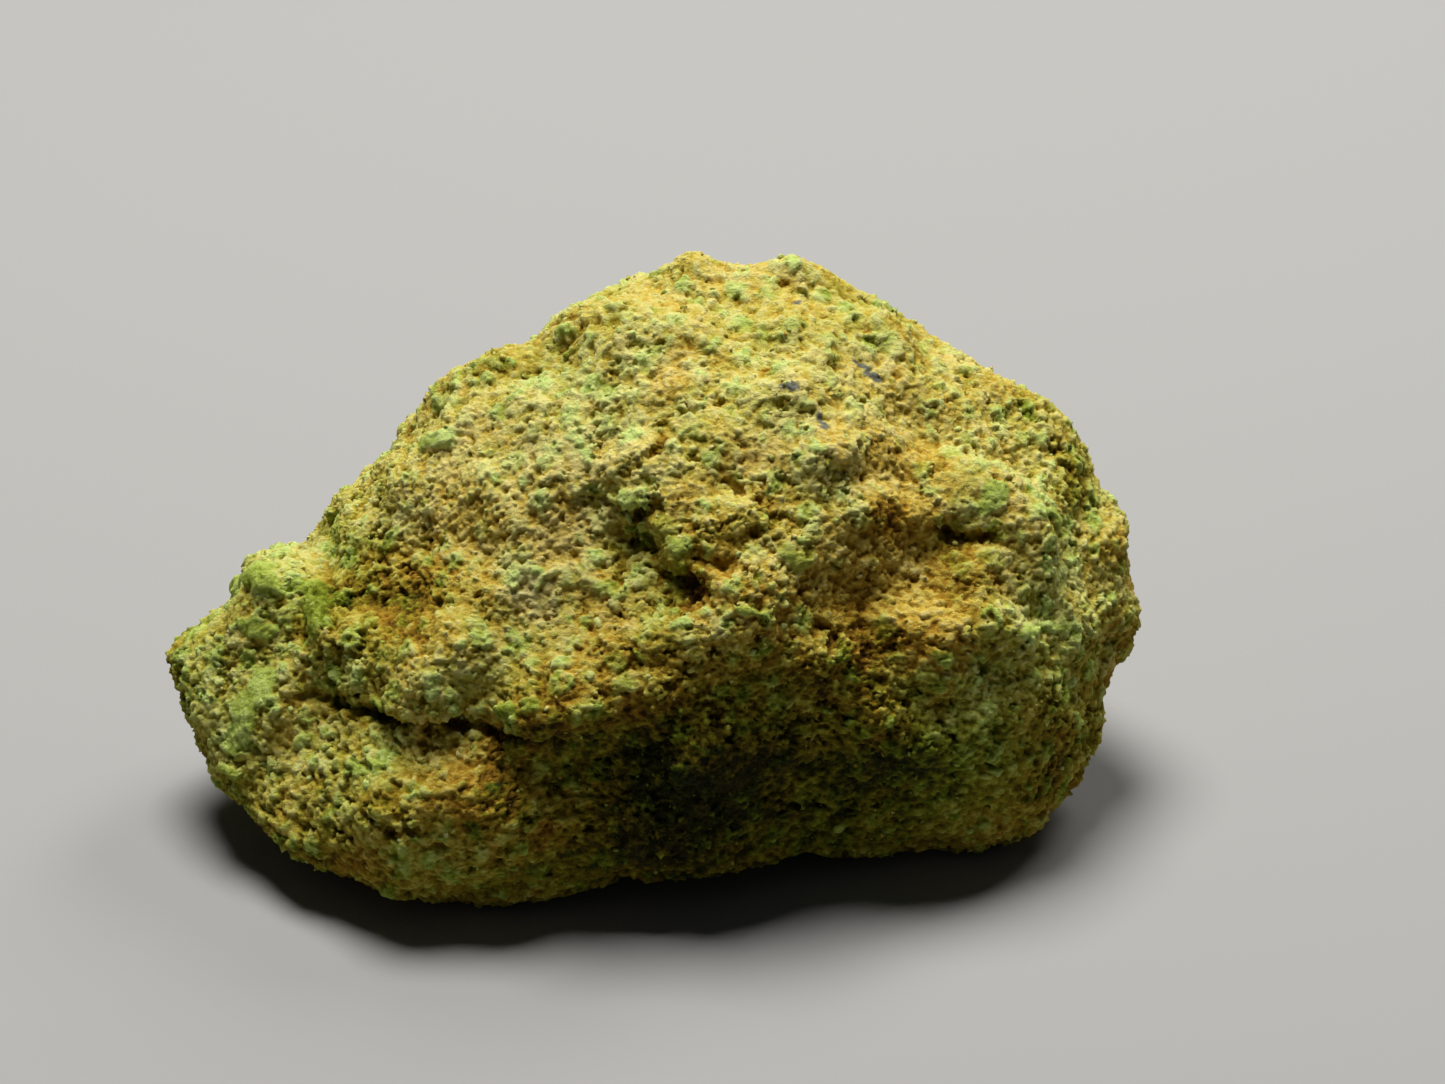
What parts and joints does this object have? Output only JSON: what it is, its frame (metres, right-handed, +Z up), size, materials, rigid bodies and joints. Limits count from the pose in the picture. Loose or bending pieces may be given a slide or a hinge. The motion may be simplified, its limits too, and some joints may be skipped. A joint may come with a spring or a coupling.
{
  "type": "raw gaspeite stone",
  "caption": "Rough, crumbly lump of earthy mineral with a leaning broad face, a pointed end and a blunt end, resting on worn feet.",
  "frame": {"origin": "under the middle of the stone's bounding box, on the surface that it rests on", "axes": "+X to the blunt end, along the stone's length; +Y to the back; +Z up"},
  "size_m": [0.024, 0.0154, 0.0128],
  "materials": {
    "gaspeite": "matte, earthy and granular: pale yellow-green grains with ochre between them and apple green knobs"
  },
  "bodies": {
    "root": {"gaspeite_stone": "gaspeite"}
  },
  "joints": []
}
